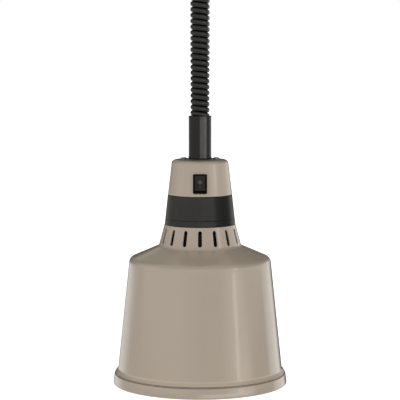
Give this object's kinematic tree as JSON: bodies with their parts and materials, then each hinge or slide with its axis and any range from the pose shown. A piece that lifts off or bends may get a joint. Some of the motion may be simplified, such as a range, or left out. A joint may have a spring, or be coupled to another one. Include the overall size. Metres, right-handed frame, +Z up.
{
  "type": "pendant heat lamp",
  "caption": "Pendant food-warming heat lamp: tapered metal shade with a slotted neck, dark collar, rocker switch and infrared bulb, hung on a coiled cord from a ceiling canopy.",
  "frame": {"origin": "centre of the ceiling bracket's upper face, on the lamp's axis", "axes": "+Z up out of the ceiling face, along the lamp's axis; the lamp hangs towards -Z and its switch faces -Y"},
  "size_m": [0.1884, 0.1884, 0.61],
  "materials": {
    "champagne_paint": "satin",
    "dark_plastic": "satin",
    "black_plastic": "satin",
    "dark_paint": "satin",
    "cord_rubber": "satin",
    "plated_steel": "satin",
    "white_plastic": "satin",
    "brass": "satin",
    "dark_glaze": "glazed",
    "bulb_glass": "frosted",
    "tungsten": "dull",
    "brown_insulation": "satin",
    "blue_insulation": "satin",
    "green_insulation": "satin"
  },
  "bodies": {
    "ceiling": {"ceiling_bracket": "plated_steel", "canopy": "champagne_paint", "canopy_screw_left": "plated_steel", "canopy_screw_right": "plated_steel", "reel_frame": "plated_steel", "reel_axle": "plated_steel", "axle_clip_front": "plated_steel", "axle_clip_rear": "plated_steel", "main_spring": "plated_steel", "terminal_block": "white_plastic", "cord_clamp": "black_plastic", "supply_tail": "cord_rubber"},
    "reel": {"rope_drum": "white_plastic", "drum_cover": "white_plastic", "wound_rope": "plated_steel"},
    "pendant": {"ball_bushing": "black_plastic", "coil_cord": "cord_rubber", "hanging_rope": "plated_steel"},
    "head": {"shade": "champagne_paint", "grip_collar": "dark_plastic", "upper_housing": "champagne_paint", "inner_frame": "plated_steel", "top_screw_left": "plated_steel", "top_screw_right": "plated_steel", "tie_screw_1": "plated_steel", "tie_screw_2": "plated_steel", "tie_screw_3": "plated_steel", "sleeve_washer": "black_plastic", "cord_sleeve": "dark_paint", "sleeve_nut": "plated_steel", "cord_tail": "cord_rubber", "anchor_plate": "plated_steel", "rope_ferrule": "plated_steel", "cord_grip": "black_plastic", "switch_body": "black_plastic", "switch_terminal_upper": "brass", "switch_terminal_lower": "brass", "lamp_holder": "dark_glaze", "heat_baffle": "dark_paint", "holder_shell": "brass", "holder_contact": "brass", "holder_nipple": "brass", "holder_nut": "brass", "earth_screw": "brass", "live_wire": "brown_insulation", "switched_live_wire": "brown_insulation", "neutral_wire": "blue_insulation", "earth_wire": "green_insulation"},
    "rocker": {"switch_rocker": "black_plastic"},
    "bulb": {"bulb_envelope": "bulb_glass", "bulb_cap": "brass", "bulb_insulator": "black_plastic", "bulb_contact": "plated_steel", "bulb_stem": "bulb_glass", "filament": "tungsten"}
  },
  "joints": [
    {"name": "pendant_swing", "type": "hinge", "parent": "ceiling", "child": "pendant", "pos_m": [0, 0, -0.0693], "axis": [0, 1, 0], "range_deg": [-15, 15]},
    {"name": "head_height", "type": "slide", "parent": "pendant", "child": "head", "axis": [0, 0, -1], "range_m": [0, 0.4], "stiffness_N_per_m": 2, "springref_m": -7.4, "deforming": ["coil_cord", "hanging_rope"]},
    {"name": "drum_spin", "type": "hinge", "parent": "ceiling", "child": "reel", "pos_m": [-0.018, 0, -0.0254], "axis": [0, 1, 0], "range_deg": [0, 1278.2]},
    {"name": "switch_rock", "type": "hinge", "parent": "head", "child": "rocker", "pos_m": [0, -0.02979, -0.39108], "axis": [1, 0, 0], "range_deg": [0, 20]},
    {"name": "bulb_removal", "type": "slide", "parent": "head", "child": "bulb", "axis": [0, 0, -1], "range_m": [0, 0.2], "stiffness_N_per_m": 0.5, "springref_m": -2.8}
  ],
  "couplings": [
    {"joint": "drum_spin", "follows": "head_height", "rad_per_m": 55.556}
  ]
}
